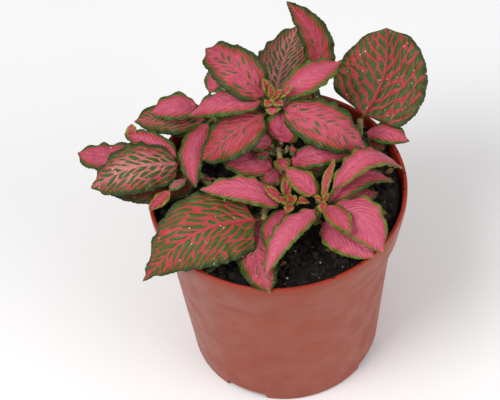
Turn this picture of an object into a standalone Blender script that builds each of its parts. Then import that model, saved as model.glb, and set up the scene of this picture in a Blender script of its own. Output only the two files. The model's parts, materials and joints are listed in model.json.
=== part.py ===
"""Nerve plant (Fittonia) in a round nursery pot.

Metres, +Z up. The origin is the middle of the pot's flat base, on the surface that the pot stands on, and
-Y is the front. Each leaf, each stem, the soil and the pot is an object of its own.
"""

import math

import bpy
from mathutils import Matrix, Vector

MM = 0.001
GAP = 0.3  # clear space left between touching pieces, in millimetres

# ---- pot, in millimetres -------------------------------------------------------------------------------
POT_HEIGHT = 82.0
RIM_RADIUS = 45.0
BASE_RADIUS = 34.0
COLLAR_FOOT = 65.0  # height of the collar's lower edge
COLLAR_FOOT_RADIUS = 42.5
WALL_TOP_RADIUS = 40.3  # the wall just under the collar
WALL_THICKNESS = 1.3
FLOOR_THICKNESS = 4.4
EDGE_BEVEL = 0.6
POT_SEGMENTS = 64
CHANNEL_COUNT = 4  # drain channels under the base, which show as notches at its edge
CHANNEL_FIRST_ANGLE = 241.0
CHANNEL_WIDTH = 15.5
CHANNEL_DEPTH = 3.2
CHANNEL_INNER_END = 14.0
DRAIN_RADIUS = 4.0
DRAIN_PLACE = 22.0  # distance of each drain hole from the middle
DRAIN_SIDES = 16
CUT_MARGIN = 3.0  # how far each cutter runs past what it cuts

# ---- soil, in millimetres ------------------------------------------------------------------------------
SOIL_LEVEL = 77.0
SOIL_BANK = 3.0  # how much higher the soil lies at the back right
SOIL_RIPPLE = 0.5
SOIL_CLEARANCE = 0.6  # between the soil and the pot's wall
SOIL_SEGMENTS = 40
SOIL_RINGS = 5

# ---- stems, in millimetres: radius, foot (x, y), top (x, y, z) -------------------------------------------
STEM_SIDES = 8
STEM_STEPS = 6
STEM_TAPER = 0.35
STEM_LEAN = 1.4  # over 1: a stem leaves the soil steeply and leans more towards its top
STEM_FOOT_GAP = 0.6
STEMS = {
    "crown": (1.5, (1, 17), (0.5, 14.5, 111)),
    "middle": (1.3, (2, 0), (1.5, 8, 93)),
    "front": (1.5, (12, -15), (15, -16, 92)),
    "bud": (1.3, (3, -8), (4, -14, 89)),
    "low": (1.4, (-4, -6), (-5.5, -17.5, 87)),
    "left": (1.4, (-23, 5), (-31, 10, 86.5)),
    "back_left": (1.4, (-17, 22), (-23, 28, 98)),
    "back": (1.3, (14, 26), (16.5, 35.5, 87)),
    "right": (1.5, (30, 19), (31, 23, 87)),
}

# ---- leaves --------------------------------------------------------------------------------------------
PETIOLE_RADIUS = 0.75
PETIOLE_SWELL = 0.4  # added depth where a leaf's stalk starts
PETIOLE_GAP = 0.5  # between a leaf's stalk and its stem
BLADE_BULGE = 0.07  # rise of each half between midrib and margin, as a share of the half width
MIDRIB_DEPTH = 0.45
MIDRIB_SHARE = 0.03  # added depth of the midrib, as a share of the half width
FOLD_START = 0.15  # share of the blade over which its halves fold up or down
FIRST_STATION = 0.05  # place of the first cross-section of the blade, as a share of its length

MATERIALS = {
    "terracotta_plastic": ((0.35, 0.105, 0.065), 0.42),
    "potting_soil": ((0.012, 0.008, 0.006), 0.95),
    "green_stem": ((0.30, 0.30, 0.10), 0.6),
    "netted_leaf": ((0.30, 0.09, 0.08), 0.5),
    "pink_leaf": ((0.62, 0.11, 0.20), 0.5),
    "tip_leaf": ((0.42, 0.30, 0.08), 0.5),
}


def clear_scene():
    for old in list(bpy.data.objects):
        bpy.data.objects.remove(old, do_unlink=True)


def material(name):
    """The plain material of that name, made on first use."""
    found = bpy.data.materials.get(name)
    if found:
        return found
    colour, roughness = MATERIALS[name]
    made = bpy.data.materials.new(name)
    made.use_nodes = True
    shader = made.node_tree.nodes["Principled BSDF"]
    shader.inputs["Base Color"].default_value = (*colour, 1.0)
    shader.inputs["Roughness"].default_value = roughness
    shader.inputs["Metallic"].default_value = 0.0
    return made


def add_object(name, points, faces, material_name):
    """A mesh object from points in millimetres."""
    mesh = bpy.data.meshes.new(name)
    mesh.from_pydata([tuple(c * MM for c in p) for p in points], [], faces)
    mesh.materials.append(material(material_name))
    mesh.shade_smooth()
    mesh.set_sharp_from_angle(angle=math.radians(40))
    made = bpy.data.objects.new(name, mesh)
    bpy.context.scene.collection.objects.link(made)
    return made


def ring_faces(first, second, count):
    """Quads between two rings of points, wound so that they face out when the rings run counter-clockwise
    round the direction from the first ring to the second."""
    return [
        (first + i, first + (i + 1) % count, second + (i + 1) % count, second + i)
        for i in range(count)
    ]


# ---- pot -----------------------------------------------------------------------------------------------
def pot_profile():
    """(radius, height) of the pot's wall, from the middle of the underside round the lip to the floor."""
    inner_rim = RIM_RADIUS - WALL_THICKNESS
    inner_wall_top = WALL_TOP_RADIUS - WALL_THICKNESS
    inner_base = BASE_RADIUS - WALL_THICKNESS - 0.4
    return [
        (0.0, 0.0),
        (BASE_RADIUS - 0.8, 0.0),
        (BASE_RADIUS, 0.8),
        (WALL_TOP_RADIUS, COLLAR_FOOT - 1.0),
        (COLLAR_FOOT_RADIUS - 0.4, COLLAR_FOOT - 0.2),
        (COLLAR_FOOT_RADIUS, COLLAR_FOOT + EDGE_BEVEL),
        (RIM_RADIUS, POT_HEIGHT - EDGE_BEVEL),
        (RIM_RADIUS - 0.4, POT_HEIGHT),
        (inner_rim + 0.4, POT_HEIGHT),
        (inner_rim, POT_HEIGHT - EDGE_BEVEL),
        (COLLAR_FOOT_RADIUS - WALL_THICKNESS, COLLAR_FOOT + 0.4),
        (inner_wall_top, COLLAR_FOOT - 1.4),
        (inner_base, FLOOR_THICKNESS + 1.0),
        (inner_base - 1.0, FLOOR_THICKNESS),
        (0.0, FLOOR_THICKNESS),
    ]


def turned_solid(name, profile, segments, material_name):
    """A profile that starts and ends on the axis, turned round Z."""
    points = [(0.0, 0.0, profile[0][1])]
    for radius, height in profile[1:-1]:
        for i in range(segments):
            angle = 2 * math.pi * i / segments
            points.append((radius * math.cos(angle), radius * math.sin(angle), height))
    points.append((0.0, 0.0, profile[-1][1]))
    last = len(points) - 1
    faces = [(0, 1 + (i + 1) % segments, 1 + i) for i in range(segments)]
    for ring in range(len(profile) - 3):
        faces += ring_faces(1 + ring * segments, 1 + (ring + 1) * segments, segments)
    top = 1 + (len(profile) - 3) * segments
    faces += [(last, top + i, top + (i + 1) % segments) for i in range(segments)]
    return add_object(name, points, faces, material_name)


def cut(target, points, faces, name):
    """Cuts a closed shape, given in millimetres, out of an object."""
    cutter = add_object(name, points, faces, "terracotta_plastic")
    cutter.hide_render = True
    cutter.display_type = "WIRE"
    modifier = target.modifiers.new(name, "BOOLEAN")
    modifier.operation = "DIFFERENCE"
    modifier.solver = "EXACT"
    modifier.object = cutter


def channel_shape(angle):
    """Box under the base, from near the middle out past the edge."""
    turn = Matrix.Rotation(angle, 3, "Z")
    low, high = -CUT_MARGIN, CHANNEL_DEPTH
    near, far, half = CHANNEL_INNER_END, BASE_RADIUS + CUT_MARGIN, CHANNEL_WIDTH / 2
    corners = [(near, -half), (far, -half), (far, half), (near, half)]
    points = [turn @ Vector((x, y, z)) for z in (low, high) for x, y in corners]
    return points, [(3, 2, 1, 0), (4, 5, 6, 7)] + ring_faces(0, 4, 4)


def drain_shape(angle):
    """Upright cylinder through the floor."""
    middle = Vector((DRAIN_PLACE * math.cos(angle), DRAIN_PLACE * math.sin(angle), 0.0))
    sides = DRAIN_SIDES
    points = []
    for z in (-2 * CUT_MARGIN, FLOOR_THICKNESS + CUT_MARGIN):
        for i in range(sides):
            turn = 2 * math.pi * i / sides
            points.append(middle + Vector((DRAIN_RADIUS * math.cos(turn), DRAIN_RADIUS * math.sin(turn), z)))
    faces = [tuple(reversed(range(sides))), tuple(range(sides, 2 * sides))]
    return points, faces + ring_faces(0, sides, sides)


def make_pot():
    pot = turned_solid("nursery_pot", pot_profile(), POT_SEGMENTS, "terracotta_plastic")
    for i in range(CHANNEL_COUNT):
        angle = math.radians(CHANNEL_FIRST_ANGLE + 360.0 / CHANNEL_COUNT * i)
        cut(pot, *channel_shape(angle), f"channel_cutter_{i + 1}")
        cut(pot, *drain_shape(angle), f"drain_cutter_{i + 1}")


# ---- soil ----------------------------------------------------------------------------------------------
def soil_height(x, y):
    """Height of the soil's surface: level at the front left, banked up at the back right."""
    toward = (x + y) / (math.sqrt(2) * RIM_RADIUS)
    bank = max(0.0, min(1.0, 0.5 + 0.8 * toward))
    ripple = math.sin(0.23 * x + 1.1) * math.cos(0.19 * y - 0.6)
    return SOIL_LEVEL + SOIL_BANK * bank * bank * (3 - 2 * bank) + SOIL_RIPPLE * ripple


def inner_wall():
    """(radius, height) of the pot's inner wall, from the lip down to the floor's edge."""
    return pot_profile()[9:-1]


def wall_radius(height):
    """Inner radius of the pot's wall at that height."""
    wall = inner_wall()
    for (upper_radius, upper), (lower_radius, lower) in zip(wall, wall[1:]):
        if lower <= height <= upper:
            return lower_radius + (upper_radius - lower_radius) * (height - lower) / (upper - lower)
    return wall[-1][0]


def make_soil():
    """The soil fills the pot from its floor to a little under its lip."""
    bottom = FLOOR_THICKNESS + GAP
    points = [(0.0, 0.0, bottom)]
    sides = [(radius - SOIL_CLEARANCE, max(height, bottom)) for radius, height in reversed(inner_wall()[1:])]
    count = SOIL_SEGMENTS

    def ring(radius, height):
        for i in range(count):
            angle = 2 * math.pi * i / count
            x, y = radius * math.cos(angle), radius * math.sin(angle)
            points.append((x, y, height(x, y) if callable(height) else height))

    for radius, height in sides:
        ring(radius, height)
    top_radius = wall_radius(SOIL_LEVEL) - SOIL_CLEARANCE
    for step in range(SOIL_RINGS):
        ring(top_radius * (1 - step / SOIL_RINGS), soil_height)
    points.append((0.0, 0.0, soil_height(0.0, 0.0)))
    rings = len(sides) + SOIL_RINGS
    faces = [(0, 1 + (i + 1) % count, 1 + i) for i in range(count)]
    for k in range(rings - 1):
        faces += ring_faces(1 + k * count, 1 + (k + 1) * count, count)
    last, top = len(points) - 1, 1 + (rings - 1) * count
    faces += [(last, top + i, top + (i + 1) % count) for i in range(count)]
    add_object("potting_soil", points, faces, "potting_soil")


# ---- stems ---------------------------------------------------------------------------------------------
def stem_point(stem, height):
    """Middle of a stem at that height."""
    _, (x0, y0), (x1, y1, z1) = STEMS[stem]
    z0 = soil_height(x0, y0) + STEM_FOOT_GAP
    s = max(0.0, min(1.0, (height - z0) / (z1 - z0)))
    lean = s**STEM_LEAN
    return Vector((x0 + (x1 - x0) * lean, y0 + (y1 - y0) * lean, z0 + (z1 - z0) * s))


def make_stem(stem):
    radius, foot, top = STEMS[stem]
    low = soil_height(*foot) + STEM_FOOT_GAP
    points = []
    for step in range(STEM_STEPS + 1):
        s = step / STEM_STEPS
        middle = stem_point(stem, low + (top[2] - low) * s)
        thick = radius * (1.0 - STEM_TAPER * s)
        for i in range(STEM_SIDES):
            angle = 2 * math.pi * i / STEM_SIDES
            points.append(middle + Vector((thick * math.cos(angle), thick * math.sin(angle), 0.0)))
    faces = [tuple(reversed(range(STEM_SIDES)))]
    for step in range(STEM_STEPS):
        faces += ring_faces(step * STEM_SIDES, (step + 1) * STEM_SIDES, STEM_SIDES)
    first = STEM_STEPS * STEM_SIDES
    faces.append(tuple(range(first, first + STEM_SIDES)))
    add_object(f"{stem}_stem", points, faces, "green_stem")


# ---- leaves --------------------------------------------------------------------------------------------
def peak_power(place):
    """The power k for which sin(pi * t ** k) is highest at t = place."""
    return math.log(0.5) / math.log(place)


def leaf(name, stem, node, tip, width, arch=2.0, peak=0.5, roll=0.0, fold=-10.0, sway=0.0,
         petiole=2.0, belly=0.42, fullness=0.52, point=0.2, kind="pink_leaf", steps=9):
    """One leaf, from its stalk on a stem to its tip, as a thin closed blade with a keel under the midrib.

    node is the height on the stem, arch and sway bend the midrib up and aside, roll turns the blade about
    it, and fold is the angle of each half (positive: the margins stand up). belly is the place of the
    widest part, a lower fullness gives a rounder blade and a higher point a longer tip.
    """
    tip = Vector(tip)
    start = stem_point(stem, node)
    outward = tip - start
    outward.z *= 0.3
    base = start + outward.normalized() * (STEMS[stem][0] + PETIOLE_GAP)
    chord = tip - base
    along = chord.normalized()
    level_side = along.cross(Vector((0, 0, 1))).normalized()
    level_lift = level_side.cross(along)
    main_side = level_side * math.cos(math.radians(roll)) + level_lift * math.sin(math.radians(roll))
    main_lift = main_side.cross(along)

    def middle(t):
        t = max(0.0, min(1.0, t))
        rise = arch * math.sin(math.pi * t ** peak_power(peak))
        return base + chord * t + main_lift * rise + main_side * (sway * math.sin(math.pi * t))

    stalk = petiole / chord.length
    shares = [FIRST_STATION] + [i / steps for i in range(1, steps)]
    stations = [(0.0, 0.0), (stalk, 0.0)] + [(stalk + (1 - stalk) * u, u) for u in shares]
    points = []
    for t, u in stations:
        centre = middle(t)
        tangent = (middle(t + 0.01) - middle(t - 0.01)).normalized()
        normal = main_side.cross(tangent).normalized()
        side = tangent.cross(normal)
        half = width / 2 * math.sin(math.pi * u ** peak_power(belly)) ** (fullness + point * u * u)
        half = max(half, PETIOLE_RADIUS)
        angle = math.radians(fold) * min(1.0, u / FOLD_START)
        reach, rise = side * (half * math.cos(angle)), normal * (half * math.sin(angle))
        bulge = normal * (BLADE_BULGE * half)
        keel = MIDRIB_DEPTH + MIDRIB_SHARE * half + (PETIOLE_SWELL if u == 0 else 0.0)
        points.append(centre - reach + rise)
        points.append(centre - reach / 2 + rise / 2 + bulge)
        points.append(centre)
        points.append(centre + reach / 2 + rise / 2 + bulge)
        points.append(centre + reach + rise)
        points.append(centre - normal * keel)
    points.append(tip)
    count = 6
    faces = [tuple(reversed(range(count)))]
    for ring in range(len(stations) - 1):
        faces += ring_faces(ring * count, (ring + 1) * count, count)
    first, last = (len(stations) - 1) * count, len(points) - 1
    faces += [(last, first + i, first + (i + 1) % count) for i in range(count)]
    add_object(name, points, faces, kind)


def make_leaves():
    """Every leaf, shoot by shoot. Tips, widths and bends are in millimetres, turns in degrees."""
    leaf("crown_leaf_1", "crown", 109, (-21, 31.5, 120.5), 16.5, arch=8.8, roll=25, fold=0, fullness=0.5,
         point=-0.1)
    leaf("crown_leaf_2", "crown", 98.8, (13, 66, 93), 21, arch=0, sway=-2.5, roll=5, fold=5, fullness=0.5,
         kind="netted_leaf")
    leaf("crown_leaf_3", "crown", 109.5, (25.5, 28.5, 112), 12, arch=5.5, roll=-20, fold=-18)
    leaf("crown_leaf_4", "crown", 108.7, (-29, 16, 104), 12.5, arch=7, roll=10, fold=-22)
    leaf("crown_leaf_5", "crown", 105, (-25.5, 6, 92), 17.5, arch=4.5, sway=-1, roll=15, fold=-5, petiole=2,
         kind="netted_leaf")
    leaf("crown_leaf_6", "crown", 107, (32, 4.5, 92), 18.5, arch=8, roll=-25, fold=-15, petiole=1.5,
         fullness=0.55, kind="netted_leaf")
    leaf("crown_tip_1", "crown", 110.8, (-2.5, 17, 119), 4, arch=1, kind="tip_leaf", petiole=1, steps=5)
    leaf("crown_tip_2", "crown", 110.8, (7.5, 14, 117), 5, arch=1, kind="tip_leaf", petiole=1, steps=5)
    leaf("crown_leaf_7", "crown", 94, (-5.5, 50, 90), 15, arch=3, kind="netted_leaf")
    leaf("back_leaf_1", "back", 86.5, (8, 48.5, 123), 13, arch=3, roll=0, fold=15, sway=5, petiole=3.5,
         kind="netted_leaf")
    leaf("back_leaf_2", "back", 82.5, (6.5, 51.5, 90), 15, arch=3, kind="netted_leaf")
    leaf("middle_leaf_1", "middle", 86, (-22, 13.5, 90), 15.5, arch=4, roll=15, fold=-15)
    leaf("middle_leaf_2", "middle", 85, (19.5, 8.5, 85), 14, arch=3, roll=-10, fold=-10, kind="netted_leaf")
    leaf("middle_leaf_3", "middle", 92.2, (-14, 16.5, 98), 13.5, arch=4, roll=15, fold=-10)
    leaf("middle_leaf_4", "middle", 92.5, (6, 13.5, 106), 13.5, arch=2, roll=-8, fold=12)
    leaf("middle_leaf_5", "middle", 92, (7.5, 6.5, 93), 6.5, arch=1, roll=0, fold=-10, steps=6)
    leaf("middle_leaf_6", "middle", 90.2, (-9.5, 16, 94), 8, arch=1.5, roll=0, fold=-10)
    leaf("middle_leaf_7", "middle", 88, (26.5, 3, 92), 11, arch=6, roll=-15, fold=-10)
    leaf("middle_leaf_8", "middle", 91.9, (-7.5, 5, 93), 6, arch=1, roll=0, fold=-10, steps=6)
    leaf("left_leaf_1", "left", 86.4, (-64.5, 3.5, 84.5), 19.5, arch=9.3, roll=20, fold=-10, fullness=0.42,
         petiole=1.2, kind="netted_leaf")
    leaf("left_leaf_2", "left", 85, (-69, 20, 84.5), 17, arch=2, sway=-1.5, roll=-5, fold=-5, fullness=0.45,
         point=-0.15, kind="netted_leaf")
    leaf("left_leaf_3", "left", 81.1, (-61, 5.5, 82), 16, arch=4, sway=-2, roll=10, fold=-10,
         kind="netted_leaf")
    leaf("left_leaf_4", "left", 83.5, (-44.5, -9.5, 86), 6, arch=2, petiole=13, kind="tip_leaf", steps=6)
    leaf("left_leaf_5", "left", 87.3, (-52, 23, 89.5), 10, arch=3.5, roll=10)
    leaf("back_left_leaf_1", "back_left", 96, (-42.5, 26, 96), 12, arch=3, roll=10)
    leaf("back_left_leaf_2", "back_left", 90, (-48.5, 29.5, 88), 16, arch=5, roll=10, kind="netted_leaf")
    leaf("back_left_leaf_3", "back_left", 92.3, (-28, -2.5, 87.5), 10, arch=1.8, sway=4)
    leaf("back_left_leaf_4", "back_left", 97.5, (-17, 35.5, 110), 8.5, arch=-1)
    leaf("back_left_leaf_5", "back_left", 88, (-36.5, 24.5, 86), 9, arch=2, kind="netted_leaf")
    leaf("right_leaf_1", "right", 86.2, (42.5, 47, 107.5), 35, arch=-2, sway=3, fold=8, belly=0.36,
         fullness=0.38, point=0.05, petiole=1.2, kind="netted_leaf", steps=11)
    leaf("right_leaf_2", "right", 83.4, (47.5, 14, 84), 10.5, arch=3, petiole=1, fullness=0.45)
    leaf("right_leaf_3", "right", 82, (38.5, 13, 82), 10, arch=1, kind="netted_leaf")
    leaf("right_leaf_4", "front", 90.5, (44, 2, 84), 11.5, arch=15, peak=0.42, fold=-16)
    leaf("right_leaf_5", "front", 85.5, (40.5, -2, 82), 10, arch=10)
    leaf("front_leaf_1", "low", 86.9, (-48, -34.5, 79), 27, arch=10.5, roll=30, sway=5, belly=0.33,
         fullness=0.38, point=0.7, petiole=1.5, kind="netted_leaf", steps=11)
    leaf("front_leaf_2", "bud", 85.9, (-26.5, -12.5, 98.5), 12.5, arch=6.5, roll=8, fold=-14)
    leaf("front_leaf_3", "low", 82.2, (-5.5, -46.5, 83.5), 15.5, arch=1.5, sway=4, fullness=0.46, point=0,
         kind="netted_leaf")
    leaf("front_leaf_4", "front", 89.5, (-7, -42.5, 87), 10.5, arch=5, fold=-16, sway=2, belly=0.36)
    leaf("front_leaf_5", "bud", 86, (-5.5, -31.5, 88), 9, arch=2, sway=1)
    leaf("front_leaf_6", "front", 81.3, (30.5, -36, 84), 15, arch=3, roll=-10)
    leaf("front_leaf_7", "front", 87.5, (33.5, -36, 86), 17, arch=7, sway=-3.5, roll=-12)
    leaf("front_leaf_8", "front", 91.3, (22.5, -34.5, 97), 9, arch=2, steps=6)
    leaf("front_leaf_9", "front", 91.5, (3, -6.5, 99), 10, arch=2)
    leaf("front_leaf_10", "front", 88, (9, -1, 90), 6, arch=2, steps=6)
    leaf("front_leaf_11", "front", 84, (36.5, -18, 85), 9, arch=3)
    leaf("front_leaf_12", "low", 79.4, (-26.5, -36, 82.5), 6, arch=0.5, kind="netted_leaf")
    leaf("bud_leaf_1", "bud", 88.8, (2, -7, 95), 4.4, arch=1, kind="tip_leaf", petiole=1, steps=6,
         fullness=0.6)
    leaf("bud_leaf_2", "bud", 88.5, (-5, -11.5, 96), 5.5, arch=1, kind="tip_leaf", petiole=1, steps=6)
    leaf("bud_leaf_3", "bud", 88.6, (10.5, -15, 90), 4, arch=2.5, kind="tip_leaf", petiole=1, steps=6)


clear_scene()
make_pot()
make_soil()
for stem_name in STEMS:
    make_stem(stem_name)
make_leaves()
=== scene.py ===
"""Looks of the potted nerve plant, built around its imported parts. Metres, +Z up, -Y is the front."""

import json
import math
from itertools import permutations

import bpy
import numpy as np
from mathutils import Matrix, Vector
from mathutils.bvhtree import BVHTree

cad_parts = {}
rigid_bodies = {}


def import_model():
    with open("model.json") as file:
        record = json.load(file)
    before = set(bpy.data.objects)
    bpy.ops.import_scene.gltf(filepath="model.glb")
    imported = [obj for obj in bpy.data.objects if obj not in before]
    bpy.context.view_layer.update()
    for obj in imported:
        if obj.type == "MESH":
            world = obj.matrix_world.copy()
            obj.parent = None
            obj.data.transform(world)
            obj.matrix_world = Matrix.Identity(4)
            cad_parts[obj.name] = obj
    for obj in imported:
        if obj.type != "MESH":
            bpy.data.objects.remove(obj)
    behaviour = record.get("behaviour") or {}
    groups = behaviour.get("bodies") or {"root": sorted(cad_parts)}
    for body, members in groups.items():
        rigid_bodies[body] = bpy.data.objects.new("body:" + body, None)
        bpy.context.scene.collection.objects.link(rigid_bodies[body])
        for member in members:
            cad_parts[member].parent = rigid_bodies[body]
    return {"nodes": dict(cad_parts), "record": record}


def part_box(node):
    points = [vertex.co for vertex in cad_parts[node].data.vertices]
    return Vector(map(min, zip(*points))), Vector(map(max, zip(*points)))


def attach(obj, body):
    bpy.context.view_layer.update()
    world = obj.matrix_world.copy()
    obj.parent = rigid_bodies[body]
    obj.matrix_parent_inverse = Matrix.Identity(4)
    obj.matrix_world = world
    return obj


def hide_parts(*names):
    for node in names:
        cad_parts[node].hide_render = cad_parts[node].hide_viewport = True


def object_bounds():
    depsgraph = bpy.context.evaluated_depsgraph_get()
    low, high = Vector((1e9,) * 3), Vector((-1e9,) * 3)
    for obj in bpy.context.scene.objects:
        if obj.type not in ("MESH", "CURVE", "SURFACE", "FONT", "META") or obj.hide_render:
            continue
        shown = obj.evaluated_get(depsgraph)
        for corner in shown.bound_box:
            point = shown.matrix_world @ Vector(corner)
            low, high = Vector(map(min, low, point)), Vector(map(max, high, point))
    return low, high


MM = 0.001

# ---- camera and stage ----
CAMERA_DISTANCE = 0.731
CAMERA_ELEVATION = 50.9
CAMERA_ROLL = -4.4
CAMERA_AIM = (-0.0098, 0.0, 0.0756)
CAMERA_LENS = 151.0
SENSOR_WIDTH = 36.0
FLOOR_SIZE = 6.0
SKY_STRENGTH = 0.56
LIGHT_AIM = (0, 0, 0.06)
LIGHTS = {"key": ((-0.45, -0.35, 0.9), 0.5, 6.0), "fill": ((0.7, -0.5, 0.6), 0.7, 3.2)}  # place, size, watts

# ---- leaf blades, in millimetres ----
ALONG_STEP = 0.36  # distance between cross-sections
ACROSS_STEP = 0.5  # distance between points across a blade
FEWEST_ALONG, FEWEST_ACROSS = 12, 5
BLADE_THICKNESS = 0.34
BROAD = 6.0  # half the width from which a blade has its full waves and lobes
TOOTH_LENGTH, TOOTH_DEPTH = 1.25, 0.26
TOOTH_JITTER, TOOTH_JITTER_RATE = 0.35, 0.9
LOBE_LENGTH, LOBE_LENGTH_SPREAD, LOBE_DEPTH = 3.7, 1.5, 0.22
WAVE_LENGTH, WAVE_HEIGHT = 6.5, 0.6
WAVE_JITTER, WAVE_JITTER_RATE = 0.8, 0.37
VEIN_GROOVE, VEIN_GROOVE_WIDTH = 0.34, 0.75
MIDRIB_GROOVE, MIDRIB_GROOVE_WIDTH = 0.42, 0.55
VEIN_SPACING, CELL_LENGTH = 2.5, 3.9  # side veins at the midrib, and the meshes of the net between them
BREADTHS, VEIN_LEANS = (0.2, 0.5), (1.5, 0.75)  # half width over length, and how far side veins lean
VEIN_CURVE = 0.5  # how much more a side vein leans at the margin than at the midrib
VEIN_SPREAD = 0.9  # how much further apart side veins stand towards the margin
VEIN_WANDER = ((0.13, 0.45, 0.6), (0.04, 1.1, -0.9))  # size in spacings, and radians a mm along and across
CELL_SPREAD = 0.35  # how much longer the meshes are towards the margin
RIDGE_WIDTH = 0.6
STALK_THICKENING, STALK_CROWN = 1.6, 0.35  # how much thicker and rounder a blade is at its stalk

# Where in the net the left and right halves of a blade start, how much further on each leaf starts than the
# one before, and after how many leaves that comes round.
VEIN_STARTS, VEIN_MOVE, VEIN_MOVES = (40.0, 90.5), 3, 11
CELL_STARTS, CELL_MOVE, CELL_MOVES = (20.0, 60.0), 2, 7
LEAF_SEED, SMALL_SEED = 3, 90  # each leaf adds its number

# What each leaf shows, from 0 to 1: how open its vein net is (0: all pink, 1: green between the veins), how
# young and yellow its margin is, how pale the lines in its middle are, how red its veins are, how much
# painted shade darkens it where it stands deep in the plant, and how bright its pink is. "mesh" is the
# spacing of its side veins and the length of the meshes between them, in millimetres.
LOOK_KEYS = ("netting", "young", "pale", "red", "shade", "bright")
DEFAULT_LOOK = {
    "netted_leaf": {"netting": 0.8},
    "pink_leaf": {"netting": 0.14},
    "tip_leaf": {"young": 0.9, "red": 0.3},
}
LOOKS = {
    "crown_leaf_1": {"netting": 0.5, "red": 0.3, "shade": 0.15, "mesh": (2.8, 3.2)},
    "crown_leaf_2": {"netting": 0.84, "pale": 0.9, "shade": 0.2, "mesh": (3.5, 2.8)},
    "crown_leaf_3": {"netting": 0.14, "young": 0.15},
    "crown_leaf_4": {"netting": 0.12},
    "crown_leaf_5": {"netting": 0.46, "red": 0.8, "shade": 0.15, "mesh": (2.8, 3.4)},
    "crown_leaf_6": {"netting": 0.5, "red": 0.3, "mesh": (2.8, 3.4)},
    "back_leaf_1": {"netting": 0.48, "red": 0.6, "shade": 0.1, "mesh": (2.6, 4.5)},
    "left_leaf_1": {"netting": 0.84, "pale": 1.0, "shade": 0.12, "mesh": (3.7, 3.0)},
    "left_leaf_2": {"netting": 0.34},
    "left_leaf_3": {"netting": 0.7, "red": 1.0, "shade": 0.6},
    "right_leaf_1": {"netting": 1.0, "red": 0.9, "shade": 0.3, "mesh": (3.9, 3.3)},
    "right_leaf_3": {"netting": 0.9, "red": 1.0, "shade": 0.5},
    "front_leaf_1": {"netting": 0.97, "red": 0.9, "shade": 0.1, "mesh": (3.8, 4.2)},
    "front_leaf_3": {"netting": 0.45, "pale": 0.4, "red": 0.2},
    "middle_leaf_2": {"netting": 0.5, "red": 0.3, "shade": 0.15},
    "middle_leaf_6": {"netting": 0.12, "shade": 0.25},
    "middle_leaf_8": {"netting": 0.3, "shade": 0.2},
    "back_left_leaf_5": {"netting": 0.7, "shade": 0.35},
    "front_leaf_2": {"netting": 0.02, "young": 0.2, "bright": 0.3},
    "front_leaf_4": {"netting": 0.04, "young": 0.25, "bright": 0.45},
    "front_leaf_6": {"netting": 0.03, "young": 0.3, "bright": 0.45},
    "front_leaf_7": {"netting": 0.05, "young": 0.3, "bright": 0.25},
    "front_leaf_8": {"netting": 0.0, "young": 0.35},
    "front_leaf_9": {"netting": 0.02, "young": 0.35},
    "front_leaf_10": {"netting": 0.02, "young": 0.5},
    "right_leaf_4": {"netting": 0.03, "young": 0.3, "bright": 0.15},
}

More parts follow.
